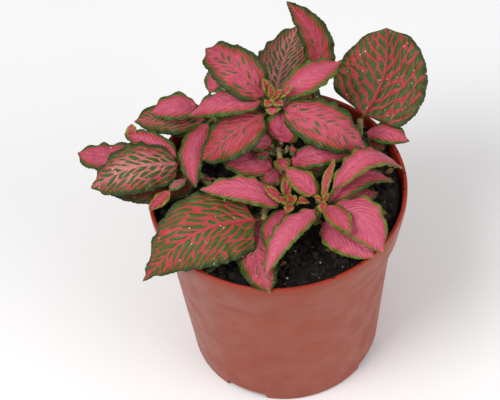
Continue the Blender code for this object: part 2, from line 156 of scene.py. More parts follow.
# Small leaves that grow between the others: where each starts, its tip and its width, in millimetres, how its
# midrib rises and how its blade turns, in degrees, and its look.
SMALL_STALK, SMALL_STALK_RADIUS = 0.1, 0.5  # the stalk's share of the leaf's length, and its radius
SMALL_FOLD = -12.0  # degrees
SMALL_STATIONS = 8
SMALL_KEEL = 0.45
SMALL_BULGE = 0.07
SMALL_WIDEST, SMALL_FULLNESS = 0.85, 0.55  # powers that move the widest place and fill out the sides
YOUNG = {"young": 0.9, "red": 0.35}
# DEEP: small leaves low in the plant, darkened by painted shade
DEEP = {"netting": 0.15, "shade": 0.55, "red": 0.3}
SMALL_LEAVES = {
    "crown_sprout_1": ((0.5, 14.5, 110.5), (4, 14.5, 115.5), 4.2, 0.8, 0, YOUNG),
    "crown_sprout_2": ((0.5, 14.5, 110), (-2.5, 11.5, 111), 4, 1, 0, YOUNG),
    "crown_sprout_3": ((0.5, 14.5, 110), (4, 11.5, 111), 4.4, 1, 0, {"netting": 0.1, "young": 0.7}),
    "crown_sprout_4": ((0.5, 13.5, 108.5), (0, 9.5, 108.5), 6, 1.4, 0, {"netting": 0.1, "young": 0.5}),
    "crown_sprout_5": ((0.5, 14.5, 110.5), (0, 15, 118), 3.2, 0.3, 30, YOUNG),
    "crown_bract": ((-1, 15, 106.5), (-14, 26.5, 107), 5.5, 2, 10, {"netting": 0.1, "young": 0.3}),
    "crown_ruff": ((1, 13.5, 100.5), (-2.5, 13, 94), 9, 1.5, 10,
        {"netting": 0.15, "red": 0.8, "shade": 0.15}),
    "middle_ruff": ((1.5, 7, 89), (-14.5, 20.5, 90.5), 7, 1.5, 0, {"netting": 0.12, "shade": 0.2}),
    "middle_apron_1": ((1.5, 5.5, 85.5), (-5, -2.5, 84.5), 10, 2.5, 10, DEEP),
    "middle_apron_2": ((2, 4.5, 86.5), (9, -2, 84.5), 10, 3, -10, DEEP),
    "middle_apron_3": ((1.5, 6, 90), (3, -1, 91.5), 7, 1.2, 0,
        {"netting": 0.15, "young": 0.3, "shade": 0.2}),
    "left_bud": ((-49.2, 20.6, 89.4), (-49.2, 24, 93.2), 4.4, 0.6, 0, {"young": 0.9, "shade": 0.3}),
    "front_spear": ((14.5, -15, 90), (20, -2.5, 97.5), 4.2, 1.5, 20, {"netting": 0.0, "young": 0.9}),
    "right_apron": ((14, -14.5, 83.5), (34.5, -6, 82), 10, 2.5, -10, DEEP),
    "front_sprout_1": ((15, -16, 91.5), (12, -16, 94.5), 3.6, 0.6, 0, YOUNG),
    "front_sprout_2": ((15, -16, 91.5), (17, -16, 95.5), 3.6, 0.6, 0, YOUNG),
    "front_sprout_3": ((15, -16, 91.5), (14, -21.5, 92.5), 4, 0.8, 0, YOUNG),
    "bud_sprout_1": ((4, -14, 88.5), (3.5, -13, 93.5), 3.6, 0.6, 0, YOUNG),
    "bud_sprout_2": ((4, -14, 88.5), (6, -13.5, 92.5), 3.4, 0.6, 0, YOUNG),
    "bud_sprout_3": ((4, -14, 88.5), (2.5, -18.5, 90), 4, 1, 0, YOUNG),
    "bud_sprout_4": ((4, -14, 88.5), (-0.5, -13.5, 92), 4, 1, 0,
        {"netting": 0.0, "young": 0.8, "red": 0.5}),
    "left_apron": ((-24, 7, 82.5), (-24, 6.5, 80.5), 9, 2, 0, DEEP),
    "back_apron": ((15, 33, 86.5), (21, 27, 84.5), 10, 2, 0, DEEP),
}


# ---- small helpers ----
def srgb(red, green, blue):
    """A colour given as it looks on a screen, 0 to 255, as linear values."""
    shares = [c / 255 for c in (red, green, blue)]
    return (*(c / 12.92 if c <= 0.04045 else ((c + 0.055) / 1.055) ** 2.4 for c in shares), 1.0)


def add(name, data):
    """A new object in the scene."""
    made = bpy.data.objects.new(name, data)
    bpy.context.scene.collection.objects.link(made)
    return made


def mesh_object(name, points, faces, smooth=True):
    """A mesh object at the origin, from points in metres."""
    mesh = bpy.data.meshes.new(name)
    mesh.from_pydata([tuple(p) for p in points], [], faces)
    if smooth:
        mesh.shade_smooth()
    return add(name, mesh)


def evaluated_mesh(obj):
    """A new mesh of the object with its modifiers worked in."""
    graph = bpy.context.evaluated_depsgraph_get()
    graph.update()
    return bpy.data.meshes.new_from_object(obj.evaluated_get(graph))


def between(a, b, count):
    """Faces between two rings of points, which start at a and b."""
    return [(a + i, a + (i + 1) % count, b + (i + 1) % count, b + i) for i in range(count)]


def fan(point, ring, count):
    """Faces from a point to the ring of points below it."""
    return [(point, ring + i, ring + (i + 1) % count) for i in range(count)]


def closed_faces(rings, count):
    """Faces of a closed solid whose points are a bottom point, rings from the bottom up and a top point."""
    faces = [(0, 1 + (i + 1) % count, 1 + i) for i in range(count)]
    for k in range(rings - 1):
        faces += between(1 + k * count, 1 + (k + 1) * count, count)
    return faces + fan(1 + rings * count, 1 + (rings - 1) * count, count)


def circle(radius, height, count):
    """Points evenly round the upright axis."""
    angles = [math.tau * i / count for i in range(count)]
    return [(radius * math.cos(angle), radius * math.sin(angle), height) for angle in angles]


def finish_piece(piece, slot, material, *nodes):
    """Gives a finished piece its material and its body, and hides the nodes that it stands for. The slot is
    not used.
    """
    piece.data.materials.clear()
    piece.data.materials.append(material)
    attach(piece, "root")
    if nodes:
        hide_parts(*nodes)
    return piece


def merged(node):
    """(points in millimetres, triangles) of a CAD node, with its loose corners joined."""
    mesh = frame["nodes"][node].data
    raw = np.array([v.co for v in mesh.vertices], float) / MM
    _, first, index = np.unique(np.round(raw, 3), axis=0, return_index=True, return_inverse=True)
    index = index.reshape(-1)
    faces = [tuple(int(index[v]) for v in polygon.vertices) for polygon in mesh.polygons]
    return raw[first], [f for f in faces if len(set(f)) == 3]


def neighbours(count, faces):
    """For each point, the points that share a triangle with it."""
    near = [set() for _ in range(count)]
    for a, b, c in faces:
        near[a] |= {b, c}
        near[b] |= {a, c}
        near[c] |= {a, b}
    return near


def travel(line):
    """The distance from the start of a line to each of its points."""
    return np.concatenate([[0], np.cumsum(np.linalg.norm(np.diff(line, axis=0), axis=1))])


def spline(knots, values, places):
    """A smooth curve through values at knots, read at the given places."""
    step = np.diff(knots)[:, None]
    rise = np.diff(values, axis=0) / step
    slopes = np.empty_like(values)
    slopes[1:-1] = (step[1:] * rise[:-1] + step[:-1] * rise[1:]) / (step[:-1] + step[1:])
    slopes[0], slopes[-1] = rise[0], rise[-1]
    k = np.clip(np.searchsorted(knots, places) - 1, 0, len(step) - 1)
    h = step[k]
    x = (places - knots[k])[:, None] / h
    keep = (1 + 2 * x) * (1 - x) ** 2
    return (
        keep * values[k]
        + (1 - keep) * values[k + 1]
        + h * x * (1 - x) ** 2 * slopes[k]
        - h * x * x * (1 - x) * slopes[k + 1]
    )


def unit(vectors):
    """Vectors brought to length 1."""
    return vectors / np.maximum(np.linalg.norm(vectors, axis=-1, keepdims=True), 1e-9)


def smoothstep(low, high, value):
    """0 at low, 1 at high, with a smooth change between them."""
    x = np.clip((value - low) / (high - low), 0, 1)
    return x * x * (3 - 2 * x)


# ---- leaves ----
AROUND, MIDRIB, KEEL = 6, 2, 5  # points round a cross-section, and two of their numbers
ORDERS = np.array(list(permutations(range(AROUND))))


def leaf_rings(node):
    """The cross-sections of a leaf's solid from its stalk to its tip: for each one its left margin, left
    quarter, midrib, right quarter, right margin and keel, in millimetres. The tip is one point, repeated."""
    points, faces = merged(node)
    near = neighbours(len(points), faces)
    for tip in range(len(points)):
        layers, seen = [{tip}], {tip}
        while layers[-1]:
            layers.append({n for v in layers[-1] for n in near[v]} - seen)
            seen |= layers[-1]
        layers.pop()
        if len(layers) > 3 and all(len(layer) == AROUND for layer in layers[1:]):
            break
    else:
        raise ValueError(f"{node} has no tip")
    layers = layers[1:]

    # The widest cross-section is walked round. Its keel lies between its two margins.
    widest = max(range(len(layers)), key=lambda i: np.ptp(points[list(layers[i])], axis=0).sum())
    order = [min(layers[widest])]
    while len(order) < AROUND:
        order.append(next(n for n in near[order[-1]] & layers[widest] if n not in order))
    spans = [np.linalg.norm(points[order[i - 1]] - points[order[(i + 1) % AROUND]]) for i in range(AROUND)]
    keel = int(np.argmax(spans))
    order = [order[(keel + 1 + i) % AROUND] for i in range(AROUND)]
    ring = points[order]
    along = points[tip] - points[list(layers[-1])].mean(0)
    side = np.cross(along, ring[MIDRIB] - ring[KEEL])
    if (ring[4] - ring[0]) @ side < 0:
        order = order[:KEEL][::-1] + [order[KEEL]]

    def matched(layer, model):
        """The points of a cross-section, in the order of the one beside it."""
        own = np.array(sorted(layer))
        shape = points[model] - points[model].mean(0)
        here = points[own] - points[own].mean(0)
        shape *= np.linalg.norm(here) / np.linalg.norm(shape)
        cost = np.linalg.norm(shape[:, None] - here[None], axis=2)
        return list(own[ORDERS[cost[np.arange(AROUND), ORDERS].sum(1).argmin()]])

    orders = {widest: order}
    for i in range(widest + 1, len(layers)):
        orders[i] = matched(layers[i], orders[i - 1])
    for i in range(widest - 1, -1, -1):
        orders[i] = matched(layers[i], orders[i + 1])
    rings = [points[orders[i]] for i in reversed(range(len(layers)))]
    rings.append(np.repeat(points[tip][None], AROUND, axis=0))
    return np.array(rings)


def blade_surface(rings, seed, mesh):
    """Points and normals of the blade's upper side on a grid, with the numbers that its pattern follows."""
    rng = np.random.default_rng(seed)
    knots = travel(rings[:, MIDRIB])
    stalk, total = knots[1], knots[-1]
    length = total - stalk
    places = np.linspace(0, total, max(FEWEST_ALONG, int(total / ALONG_STEP)) + 1)
    lines = [spline(knots, rings[:, i], places)[:, None] for i in range(KEEL)]
    half = np.linalg.norm(lines[4] - lines[0], axis=2) / 2
    widest = half.max()
    broadness = min(1.0, widest / BROAD)
    across = max(FEWEST_ACROSS, int(widest / ACROSS_STEP))
    share = np.linspace(-1, 1, 2 * across + 1)
    left, side = share < 0, (share > 0).astype(int)
    place = places[:, None] * np.ones_like(share)
    b = np.abs(share) * np.ones_like(place)
    along = np.clip((place - stalk) / length, 0, 1)
    envelope = smoothstep(0.0, 0.12, along) * smoothstep(1.0, 0.93, along)

    # The margin is toothed and lobed: each tooth leans towards the tip and cuts in a little.
    phase = rng.uniform(0, 1, 2)[side]
    jitter = TOOTH_JITTER * np.sin(place * TOOTH_JITTER_RATE + 6 * phase)
    tooth = (place / TOOTH_LENGTH + jitter + phase) % 1.0
    cut = TOOTH_DEPTH * tooth * (0.4 + 0.6 * smoothstep(0, 1, tooth))
    lobe = 0.5 + 0.5 * np.sin(place * math.tau / (LOBE_LENGTH + LOBE_LENGTH_SPREAD * phase) + 9 * phase)
    cut = (cut + LOBE_DEPTH * lobe * broadness) * envelope
    pulled = b * (1 - smoothstep(0.55, 1.0, b) * cut / np.maximum(half, 0.8))

    # Across each half the blade follows the curve through its midrib, quarter and margin.
    edge = np.where(left[None, :, None], lines[0], lines[4])
    quarter = np.where(left[None, :, None], lines[1], lines[3])
    t = pulled[:, :, None]
    surface = lines[MIDRIB] * (1 - t) * (1 - 2 * t) + quarter * 4 * t * (1 - t) + edge * t * (2 * t - 1)
    normals = grid_normals(surface)
    reach = b * half

    # Side veins leave the midrib steeply, curve towards the tip and wander a little. Each half of the blade
    # and each leaf reads its own stretch of the net.
    lean = np.interp(widest / length, BREADTHS, VEIN_LEANS)
    travelled = (place - stalk) - lean * reach * (1 + VEIN_CURVE * b * b)
    origin = travelled / (1 + VEIN_SPREAD * reach / length)
    spacing, cell_length = mesh
    family = origin / spacing + np.where(left, *VEIN_STARTS) + VEIN_MOVE * (seed % VEIN_MOVES)
    turn = rng.uniform(0, math.tau, 2 * len(VEIN_WANDER))
    for k, (size, along_rate, across_rate) in enumerate(VEIN_WANDER):
        wave = np.sin(place * along_rate + reach * across_rate + turn[side + 2 * k])
        family = family + size * wave * smoothstep(0.3, 2.0, reach)
    cells = reach * (1 + CELL_SPREAD * b) / cell_length
    cells = cells + np.where(left, *CELL_STARTS) + CELL_MOVE * (seed % CELL_MOVES)

    # The blade is quilted between its veins, and its margins wave.
    off_vein = 0.5 - np.abs(family % 1.0 - 0.5)
    groove = np.exp(-((off_vein * spacing / VEIN_GROOVE_WIDTH) ** 2))
    relief = -VEIN_GROOVE * groove * smoothstep(0.0, 0.35, b) * smoothstep(1.0, 0.8, b)
    relief -= MIDRIB_GROOVE * np.exp(-((reach / MIDRIB_GROOVE_WIDTH) ** 2)) * smoothstep(1.02, 0.6, along)
    wave_phase = rng.uniform(0, math.tau, 2)[side] + WAVE_JITTER * np.sin(place * WAVE_JITTER_RATE)
    relief += WAVE_HEIGHT * broadness * np.sin(place * math.tau / WAVE_LENGTH + wave_phase) * b**2.5
    surface = surface + normals * (relief * envelope)[:, :, None]
    return {
        "points": surface,
        "normals": grid_normals(surface),
        "reach": reach * np.where(left, -1, 1),
        "place": place - stalk,
        "along": along,
        "rim": (1 - b) * np.sqrt(np.maximum(half, 0.3) * widest),
        "family": family,
        "cells": cells,
        "b": b,
    }


def small_leaf_rings(start, tip, width, arch, roll):
    """Cross-sections, as leaf_rings gives them, of a small leaf that has no solid of its own."""
    start, tip = np.array(start, float), np.array(tip, float)
    chord = tip - start
    along = unit(chord)
    level = unit(np.cross(along, (0, 0, 1)))
    lift = np.cross(level, along)
    turn, angle = math.radians(roll), math.radians(SMALL_FOLD)
    side = level * math.cos(turn) + lift * math.sin(turn)
    up = np.cross(side, along)
    rings = []
    for t in (0.0, SMALL_STALK, *np.linspace(SMALL_STALK, 1, SMALL_STATIONS + 1)[1:]):
        centre = start + chord * t + up * (arch * math.sin(math.pi * t))
        tangent = unit(chord + up * (arch * math.pi * math.cos(math.pi * t)))
        normal = np.cross(side, tangent)
        u = max(0.0, (t - SMALL_STALK) / (1 - SMALL_STALK))
        outline = math.sin(math.pi * u**SMALL_WIDEST) ** SMALL_FULLNESS
        half = max(width / 2 * outline, SMALL_STALK_RADIUS) if t < 1 else 0.0
        out, rise = side * (half * math.cos(angle)), normal * (half * math.sin(angle))
        bulge = normal * (SMALL_BULGE * half)
        keel = normal * (SMALL_KEEL if t < 1 else 0.0)
        rings.append([
            centre - out + rise,
            centre - out / 2 + rise / 2 + bulge,
            centre,
            centre + out / 2 + rise / 2 + bulge,
            centre + out + rise,
            centre - keel,
        ])
    return np.array(rings)


def grid_normals(surface):
    """The normal at each point of a grid."""
    down = np.gradient(surface, axis=0)
    across = np.gradient(surface, axis=1)
    # At the tip every point falls together, so the ring before it lends its normals.
    normals = unit(np.cross(across, down))
    normals[-1] = normals[-2]
    return normals


def leaf_sides(top, rings):
    """The upper and lower points of a thin blade with a rounded stalk and a ridge along its underside."""
    b, along = top["b"], top["along"]
    knots = travel(rings[:, MIDRIB])
    depths = np.linalg.norm(rings[:, KEEL] - rings[:, MIDRIB], axis=1)
    keel = np.interp(top["place"][:, 0] + knots[1], knots, depths)[:, None]
    stalk = 1 - smoothstep(0.02, 0.1, along)
    body = BLADE_THICKNESS * (1 + STALK_THICKENING * stalk) * np.sqrt(np.clip(1 - b**6, 0, 1))
    fading = np.exp(-((top["reach"] / RIDGE_WIDTH) ** 2)) * (1 - smoothstep(0.5, 1.0, along))
    ridge = np.maximum((keel - BLADE_THICKNESS) * fading, 0) * (1 - b**4)
    depth = np.minimum(body + ridge, np.maximum(keel, body))
    crown = (1 - b * b) * stalk * STALK_CROWN
    upper = top["points"] + top["normals"] * crown[:, :, None]
    lower = top["points"] - top["normals"] * depth[:, :, None]
    return upper, lower


def leaf_faces(rows, columns):
    """The closed skin of a leaf whose blade is a grid: the (column, under side) of the points of each
    cross-section, its faces, and for each face its corners on the grid, its side and its half."""
    around = [(c, 0) for c in range(columns)] + [(c, 1) for c in range(columns - 2, 0, -1)]
    count = len(around)
    last, tip = (rows - 2) * count, (rows - 1) * count
    faces, corners = [], []
    for k, (c0, under0) in enumerate(around):
        following = (k + 1) % count
        c1, under1 = around[following]
        under = int(under0 or under1 or c0 > c1)
        left = c0 + c1 < columns - 1
        for row in range(rows - 2):
            a, b = row * count, (row + 1) * count
            faces.append((a + k, a + following, b + following, b + k))
            corners.append(([(row, c0), (row, c1), (row + 1, c1), (row + 1, c0)], under, left))
        faces.append((last + k, last + following, tip))
        corners.append(([(rows - 2, c0), (rows - 2, c1), (rows - 1, c0)], under, left))
    faces.append(tuple(reversed(range(count))))
    corners.append(([(0, c) for c, _ in reversed(around)], 1, True))
    return around, faces, corners


def mark_leaf(mesh, top, around, corners, look):
    """Gives a leaf's mesh its places on the blade and in the vein net, and its look, for its material."""
    rows, columns = top["b"].shape
    middle = (columns - 1) // 2
    veins, blade, under_side = [], [], []
    for face, under, left in corners:
        for row, c in face:
            # At the midrib each half of the blade keeps the veins of its own side.
            own = c if c != middle else middle - 1 if left else middle + 1
            veins += [top["family"][row, own], top["cells"][row, own]]
            blade += [top["reach"][row, c], top["place"][row, c]]
            under_side.append(float(under))
    mesh.uv_layers.new(name="veins").data.foreach_set("uv", veins)
    mesh.uv_layers.new(name="blade").data.foreach_set("uv", blade)
    mesh.attributes.new("under", "FLOAT", "CORNER").data.foreach_set("value", under_side)
    values = {key: [look.get(key, 0.0)] * len(mesh.vertices) for key in LOOK_KEYS}
    for key, at_tip in (("rim", 0.0), ("along", 1.0)):
        values[key] = [top[key][row, c] for row in range(rows - 1) for c, _ in around] + [at_tip]
    for key, numbers in values.items():
        mesh.attributes.new(key, "FLOAT", "POINT").data.foreach_set("value", np.array(numbers, np.float32))


def leaf_mesh(name, rings, seed, look):
    """A closed, thin leaf with its vein pattern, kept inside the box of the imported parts."""
    top = blade_surface(rings, seed, look.get("mesh", (VEIN_SPACING, CELL_LENGTH)))
    upper, lower = leaf_sides(top, rings)
    rows, columns = top["b"].shape
    around, faces, corners = leaf_faces(rows, columns)
    points = [(lower if under else upper)[row, c] for row in range(rows - 1) for c, under in around]
    points.append(top["points"][-1].mean(0))
    low, high = (np.array(corner) for corner in cad_box)
    made = mesh_object(name, np.clip(np.array(points) * MM, low, high), faces)
    mark_leaf(made.data, top, around, corners, look)
    return made


# ---- materials ----
def plug(tree, socket, value):
    """Links an input to another node's socket, or sets its value."""
    if isinstance(value, bpy.types.NodeSocket):
        tree.links.new(value, socket)
    else:
        socket.default_value = value


def add_node(tree, kind, inputs=(), **settings):
    """A new node. Each input is a plain value, another node's socket or a list of sockets."""
    made = tree.nodes.new(kind)
    for key, value in settings.items():
        setattr(made, key, value)
    for key, value in dict(inputs).items():
        for each in value if isinstance(value, list) else [value]:
            plug(tree, made.inputs[key], each)
    return made


class Graph:
    """Shorthand for a material's node tree. A value may be a number or another node's socket."""

    def __init__(self, name, roughness, specular=0.5):
        self.material = bpy.data.materials.new(name)
        self.material.use_nodes = True
        self.tree = self.material.node_tree
        self.shader = self.tree.nodes["Principled BSDF"]
        self.shader.inputs["Roughness"].default_value = roughness
        self.shader.inputs["Specular IOR Level"].default_value = specular

    def node(self, kind, inputs=(), **settings):
        return add_node(self.tree, kind, inputs, **settings)

    def math(self, operation, a, b=0.0, clamp=False):
        return self.node("ShaderNodeMath", {0: a, 1: b}, operation=operation, use_clamp=clamp).outputs[0]

    def step(self, value, low, high, to_low=0.0, to_high=1.0):
        inputs = {"Value": value, "From Min": low, "From Max": high, "To Min": to_low, "To Max": to_high}
        return self.node("ShaderNodeMapRange", inputs, interpolation_type="SMOOTHSTEP").outputs[0]

    def times(self, a, b):
        return self.math("MULTIPLY", a, b)

    def plus(self, a, b):
        return self.math("ADD", a, b)

    def minus(self, a, b):
        return self.math("SUBTRACT", a, b)

    def mix(self, share, a, b):
        """From colour a to colour b, as the share goes from 0 to 1. Plain colours are as on a screen."""
        colours = {key: srgb(*c) if isinstance(c, tuple) else c for key, c in ((6, a), (7, b))}
        return self.node("ShaderNodeMix", {0: share, **colours}, data_type="RGBA").outputs[2]

    def over(self, colour, *layers):
        """A colour with tints laid over it, each given as its share and its colour."""
        for share, tint in layers:
            colour = self.mix(share, colour, tint)
        return colour

    def attribute(self, name):
        return self.node("ShaderNodeAttribute", attribute_name=name).outputs["Fac"]

    def split(self, vector):
        return self.node("ShaderNodeSeparateXYZ", {0: vector}).outputs

    def join(self, x, y, z=0.0):
        return self.node("ShaderNodeCombineXYZ", {0: x, 1: y, 2: z}).outputs[0]

    def noise(self, vector, scale, detail=2.0, roughness=0.5):
        inputs = {"Vector": vector, "Scale": scale, "Detail": detail, "Roughness": roughness}
        return self.node("ShaderNodeTexNoise", inputs).outputs["Fac"]

    def voronoi(self, vector, feature, scale=1.0, randomness=0.8):
        """Cells in two dimensions, as the whole node."""
        inputs = {"Vector": vector, "Scale": scale, "Randomness": randomness}
        return self.node("ShaderNodeTexVoronoi", inputs, feature=feature, voronoi_dimensions="2D")

    def place(self):
        return self.node("ShaderNodeTexCoord").outputs["Object"]

    def bump(self, height, depth):
        """A bump of the given depth in metres for a height from 0 to 1."""
        made = self.node("ShaderNodeBump", {"Height": height, "Distance": depth, "Strength": 1.0})
        self.tree.links.new(made.outputs[0], self.shader.inputs["Normal"])

    def finish(self, colour, roughness=None):
        """The material, with the colour and roughness that its nodes work out."""
        plug(self.tree, self.shader.inputs["Base Color"], colour)
        if roughness is not None:
            plug(self.tree, self.shader.inputs["Roughness"], roughness)
        return self.material


# Leaf colours, as they look on a screen.
PINK, RED, HIGHLIGHT_PINK, CREAM = (192, 80, 104), (176, 48, 46), (212, 132, 150), (206, 160, 146)
DARK_PINK, VEIN_PINK, BRIGHT_PINK = (166, 48, 76), (214, 112, 136), (232, 116, 146)
STALK_RED, FRINGE_RED, SHADE_BROWN = (150, 40, 46), (150, 52, 44), (60, 24, 20)
GREEN, MARGIN_GREEN, DARK_GREEN = (62, 98, 14), (36, 62, 16), (32, 55, 12)
LIGHT_GREEN, YOUNG_GREEN = (80, 108, 20), (146, 150, 46)
UNDER_PINK, UNDER_GREEN = (176, 96, 96), (104, 122, 74)


def leaf_material():
    """Green leaf with a net of pink veins. The net closes up to solid pink as netting falls."""
    g = Graph("nerve_leaf", 0.46, 0.38)
    netting, young = g.attribute("netting"), g.attribute("young")
    rim, along = g.attribute("rim"), g.attribute("along")
    pale, red, under = g.attribute("pale"), g.attribute("red"), g.attribute("under")
    blade = g.node("ShaderNodeUVMap", uv_map="blade").outputs[0]
    veins = g.split(g.node("ShaderNodeUVMap", uv_map="veins").outputs[0])
    reach = g.math("ABSOLUTE", g.split(blade)[0])

    # The whole net drifts a little, so that no two meshes are the same.
    drift = g.minus(g.noise(blade, 0.55, 3.0), 0.5)
    drift_2 = g.minus(g.noise(blade, 0.9), 0.5)
    family = g.plus(veins[0], g.times(drift, 0.28))
    cells = g.plus(veins[1], g.times(drift_2, 0.5))
    from_middle = g.minus(g.math("FRACT", family), 0.5)

    # side veins, which taper towards the margin
    off_vein = g.minus(0.5, g.math("ABSOLUTE", from_middle))
    off_side = g.minus(off_vein, g.step(rim, 0.5, 8.0, 0.045, 0.1))

    # the net between them: a mesh that reaches across a side vein is cut off at it
    net_place = g.join(family, cells)
    edge = g.voronoi(net_place, "DISTANCE_TO_EDGE").outputs["Distance"]
    cell = g.voronoi(net_place, "F1")
    chance = g.split(cell.outputs["Color"])[0]
    home = g.math("FLOOR", g.split(cell.outputs["Position"])[0])
    strayed = g.math("ABSOLUTE", g.minus(home, g.math("FLOOR", family)))
    gap = g.step(netting, 0.0, 1.0, 0.3, 0.035)
    gap = g.plus(gap, g.times(chance, g.step(netting, 0.0, 1.0, 0.34, 0.03)))
    gap = g.plus(gap, g.times(g.step(rim, 1.0, 4.0, 0.0, 0.3), g.step(netting, 0.0, 0.6, 1.0, 0.0)))
    rounding = g.minus(0.76, cell.outputs["Distance"])
    island = g.step(g.minus(g.math("MINIMUM", edge, rounding), gap), -0.015, 0.03)
    island = g.times(island, g.step(off_side, 0.0, 0.04))
    island = g.times(island, g.math("LESS_THAN", strayed, 0.5))
    midrib = g.step(along, 0.0, 0.85, 0.65, 0.12)
    island = g.times(island, g.step(g.minus(reach, midrib), 0.0, 0.15))

    # thin veins that split the outer meshes lengthwise
    off_split = g.math("ABSOLUTE", g.plus(from_middle, g.times(drift_2, 0.9)))
    split_width = g.step(rim, 4.5, 1.0, -0.05, 0.06)
    island = g.times(island, g.step(g.minus(off_split, split_width), 0.0, 0.035))

    # the margin: veins run a little way into it
    spike = g.times(g.step(off_vein, 0.0, 0.3, 1.0, 0.0), g.step(netting, 0.0, 0.45, 0.6, 1.5))
    spike = g.plus(spike, g.step(edge, 0.0, 0.16, 0.45, 0.0))
    margin = g.times(g.step(netting, 0.0, 0.5, 1.7, 2.9), g.step(young, 0.0, 1.0, 1.0, 0.68))
    margin = g.times(margin, g.plus(0.6, g.times(g.noise(blade, 1.1), 0.8)))
    inside = g.minus(g.plus(rim, spike), margin)
    green = g.math("MAXIMUM", island, g.step(inside, 0.12, -0.12))

    # pink: paler and bluer in the middle from a painted highlight, redder towards the margin (partly its own
    # colour, partly painted shade) and on netted leaves
    streak = g.noise(g.join(g.times(family, 9.0), g.times(cells, 0.7)), 1.0, 3.0)
    redness = g.plus(g.step(inside, 2.2, 0.0, 0.0, 0.75), g.times(red, 0.6))
    redness = g.plus(redness, g.step(netting, 0.3, 1.0, 0.0, 0.3))
    redness = g.math("ADD", redness, g.step(streak, 0.35, 0.75, -0.15, 0.35), clamp=True)
    # painted highlight: pale pink streaks along the middle of the blade, near the midrib
    light = g.times(g.step(streak, 0.5, 0.75), g.step(reach, 4.5, 0.3, 0.0, 0.5))
    outline = g.times(g.step(g.minus(gap, edge), 0.1, 0.0, 0.0, 1.0), pale)
    pink = g.over(
        g.mix(redness, PINK, RED),
        (g.times(light, g.step(inside, 0.5, 2.5)), HIGHLIGHT_PINK),
        (g.times(outline, g.step(rim, 3.0, 7.0, 0.0, 0.5)), CREAM),
        (g.times(g.step(g.noise(blade, 0.3), 0.45, 0.7), 0.4), DARK_PINK),
        (g.times(g.step(off_vein, 0.1, 0.0, 0.0, 0.45), g.step(netting, 0.5, 0.0)), VEIN_PINK),
        (g.times(g.step(along, 0.22, 0.0), 0.35), STALK_RED),
    )

    # green: darker towards the margin, yellower on young leaves
    leaf_green = g.over(
        g.mix(g.step(rim, 0.2, 2.8), MARGIN_GREEN, GREEN),
        (g.times(g.noise(blade, 0.35), 0.5), DARK_GREEN),
        (g.step(netting, 0.6, 0.0, 0.0, 0.55), LIGHT_GREEN),
        (young, YOUNG_GREEN),
    )

    # a red fringe where they meet, the paler underside, painted shade on leaves deep in the plant, and bright
    # leaves
    fringe = g.times(g.times(green, g.minus(1.0, green)), 2.0)
    bright = g.times(g.attribute("bright"), g.step(green, 0.0, 1.0, 0.5, 0.0))
    colour = g.over(
        g.mix(green, pink, leaf_green),
        (fringe, FRINGE_RED),
        (under, g.mix(green, UNDER_PINK, UNDER_GREEN)),
        (g.times(g.attribute("shade"), 0.6), SHADE_BROWN),
        (bright, BRIGHT_PINK),
    )

    # the net stands in fine furrows, and the skin is finely grained
    ribs = g.noise(g.join(g.times(family, 16.0), cells), 1.0)
    height = g.plus(g.times(g.step(edge, 0.0, 0.34), 0.5), g.times(ribs, 0.14))
    g.bump(g.plus(height, g.times(g.noise(blade, 5.0, 3.0), 0.12)), 0.0004)
    g.shader.inputs["Subsurface Weight"].default_value = 0.12
    g.shader.inputs["Subsurface Radius"].default_value = (0.0012, 0.0004, 0.0003)
    g.shader.inputs["Subsurface Scale"].default_value = 1.0
    return g.finish(colour, g.step(g.noise(blade, 0.8), 0.3, 0.7, 0.4, 0.54))


def pot_material():
    """Terracotta-coloured polypropylene: satin, with faint flow marks and scuffs."""
    g = Graph("terracotta_plastic", 0.42, 0.3)
    place = g.place()
    x, y, z = g.split(place)
    flow = g.noise(g.join(g.times(x, 260.0), g.times(y, 260.0), g.times(z, 22.0)), 1.0, 3.0)
    colour = g.over(
        g.mix(g.step(g.noise(place, 38.0, 3.0), 0.3, 0.7, 0.0, 0.6), (144, 58, 33), (150, 64, 38)),
        (g.step(flow, 0.62, 0.8, 0.0, 0.1), (170, 98, 78)),
        (g.attribute("lip"), (150, 44, 24)),
    )
    g.bump(g.noise(place, 2600.0), 0.00004)
    return g.finish(colour, g.step(g.noise(place, 120.0, 3.0), 0.3, 0.7, 0.36, 0.5))


def soil_material():
    """Moist peat: near black, with browner crumbs."""
    g = Graph("potting_soil", 0.9, 0.25)
    place = g.place()
    spots = g.voronoi(place, "F1", 900.0, 1.0)
    spots.voronoi_dimensions = "3D"
    tone = g.split(spots.outputs["Color"])[0]
    colour = g.mix(g.step(tone, 0.55, 1.0), (16, 13, 11), (44, 32, 24))
    colour = g.mix(g.step(g.noise(place, 160.0, 3.0), 0.45, 0.7), colour, (10, 9, 8))
    g.bump(g.noise(place, 1500.0, 4.0, 0.7), 0.0006)
    return g.finish(colour, g.step(g.noise(place, 300.0), 0.4, 0.65, 0.55, 0.95))


def chip_material(name, dark, light, roughness):
    """Loose bits whose colour changes from one to the next."""
    g = Graph(name, roughness, 0.35)
    place = g.place()
    tone = g.noise(place, 330.0, 1.0)
    colour = g.mix(g.step(tone, 0.35, 0.65), dark, light)
    g.bump(g.noise(place, 2500.0, 3.0), 0.0002)
    return g.finish(colour, g.step(g.noise(place, 900.0), 0.35, 0.65, roughness - 0.1, roughness + 0.05))


def stem_material():
    """Pale green stem, flushed red-brown in places, under short white hairs."""
    g = Graph("green_stem", 0.55, 0.35)
    place = g.place()
    colour = g.mix(g.step(g.noise(place, 240.0), 0.35, 0.7), (148, 148, 74), (120, 88, 62))
    colour = g.mix(g.step(g.noise(place, 1400.0), 0.5, 0.8, 0.0, 0.4), colour, (190, 180, 120))
    g.bump(g.noise(place, 1800.0), 0.0001)
    return g.finish(colour, g.step(g.noise(place, 700.0), 0.3, 0.7, 0.48, 0.62))


def hair_material():
    """Off-white hairs."""
    g = Graph("stem_hair", 0.5, 0.5)
    tone = g.noise(g.place(), 900.0)
    return g.finish(g.mix(tone, (206, 200, 176), (236, 230, 214)), g.step(tone, 0.3, 0.7, 0.42, 0.6))


